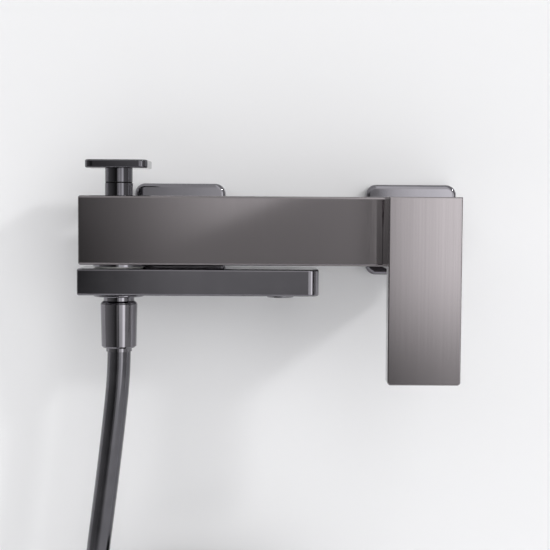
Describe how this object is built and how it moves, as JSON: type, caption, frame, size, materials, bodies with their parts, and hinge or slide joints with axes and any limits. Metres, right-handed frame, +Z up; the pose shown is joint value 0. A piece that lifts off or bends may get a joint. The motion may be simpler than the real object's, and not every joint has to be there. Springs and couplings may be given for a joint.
{
  "type": "wall mounted bath faucet",
  "caption": "Wall-mounted bar-shaped bath mixer with a front lever, a flat swivel spout, a pull-up diverter knob and a shower hose.",
  "frame": {"origin": "on the wall plane, midway between the two inlet threads", "axes": "+X to the right along the bar, +Y into the wall, +Z up"},
  "size_m": [0.2442, 0.126, 0.4226],
  "materials": {
    "gunmetal": "satin gunmetal plating",
    "gunmetal_brushed": "vertically brushed gunmetal plating",
    "chromed_brass": "polished",
    "raw_brass": "machined",
    "steel": "machined stainless",
    "hose_metal": "spiral-wound metal hose with a rubber core",
    "black_rubber": "matte",
    "black_plastic": "matte",
    "grey_plastic": "matte",
    "white_plastic": "matte",
    "ceramic": "lapped ceramic"
  },
  "bodies": {
    "mixer": {"cartridge_base": "grey_plastic", "cartridge_cover": "gunmetal", "cartridge_housing": "grey_plastic", "check_valve": "grey_plastic", "coil_tie": "black_rubber", "cold_escutcheon": "gunmetal", "cold_inlet_washer": "black_rubber", "cold_union_nut": "chromed_brass", "cold_wall_union": "raw_brass", "diverter_bonnet": "gunmetal", "far_ferrule": "gunmetal", "far_insert": "raw_brass", "far_nut": "gunmetal", "far_washer": "black_rubber", "fixed_disc": "ceramic", "hose_coil": "hose_metal", "hose_ferrule": "gunmetal", "hose_insert": "raw_brass", "hose_nut": "gunmetal", "hose_run": "hose_metal", "hose_tail": "hose_metal", "hose_washer": "black_rubber", "hot_escutcheon": "gunmetal", "hot_inlet_washer": "black_rubber", "hot_union_nut": "chromed_brass", "hot_wall_union": "raw_brass", "mixer_body": "gunmetal_brushed", "outlet_post": "gunmetal", "port_seals": "black_rubber", "retaining_nut": "raw_brass", "rod_seals": "black_rubber", "spout_flange": "gunmetal", "swivel_collar": "gunmetal", "thrust_washer": "white_plastic", "valve_seat_tube": "raw_brass"},
    "rotor": {"temperature_rotor": "white_plastic", "pivot_pin": "steel"},
    "disc": {"moving_disc": "ceramic", "disc_carrier": "white_plastic"},
    "lever": {"lever_spindle": "steel", "lever_handle": "gunmetal_brushed", "grub_screw": "steel", "screw_cap": "black_plastic"},
    "diverter": {"diverter_knob": "gunmetal", "diverter_rod": "steel", "piston_disc": "raw_brass", "piston_seals": "black_rubber", "piston_nut": "raw_brass"},
    "spout": {"spout_shell": "gunmetal", "spout_seals": "black_rubber", "aerator_housing": "gunmetal", "aerator_insert": "grey_plastic"}
  },
  "joints": [
    {"name": "temperature_swing", "type": "hinge", "parent": "mixer", "child": "rotor", "pos_m": [0.0725, -0.068, 0], "axis": [0, -1, 0], "range_deg": [-40, 40]},
    {"name": "lever_lift", "type": "hinge", "parent": "rotor", "child": "lever", "pos_m": [0.0725, -0.068, 0], "axis": [-1, 0, 0], "range_deg": [0, 25]},
    {"name": "disc_slide", "type": "slide", "parent": "rotor", "child": "disc", "axis": [0, 0, -1], "range_m": [0, 0.0042]},
    {"name": "spout_swing", "type": "hinge", "parent": "mixer", "child": "spout", "pos_m": [-0.1104, -0.049, -0.0316], "axis": [0, 0, 1], "range_deg": [-180, 0]},
    {"name": "diverter_pull", "type": "slide", "parent": "mixer", "child": "diverter", "axis": [0, 0, 1], "range_m": [0, 0.009]}
  ],
  "couplings": [
    {"joint": "disc_slide", "follows": "lever_lift", "m_per_rad": 0.00925}
  ]
}
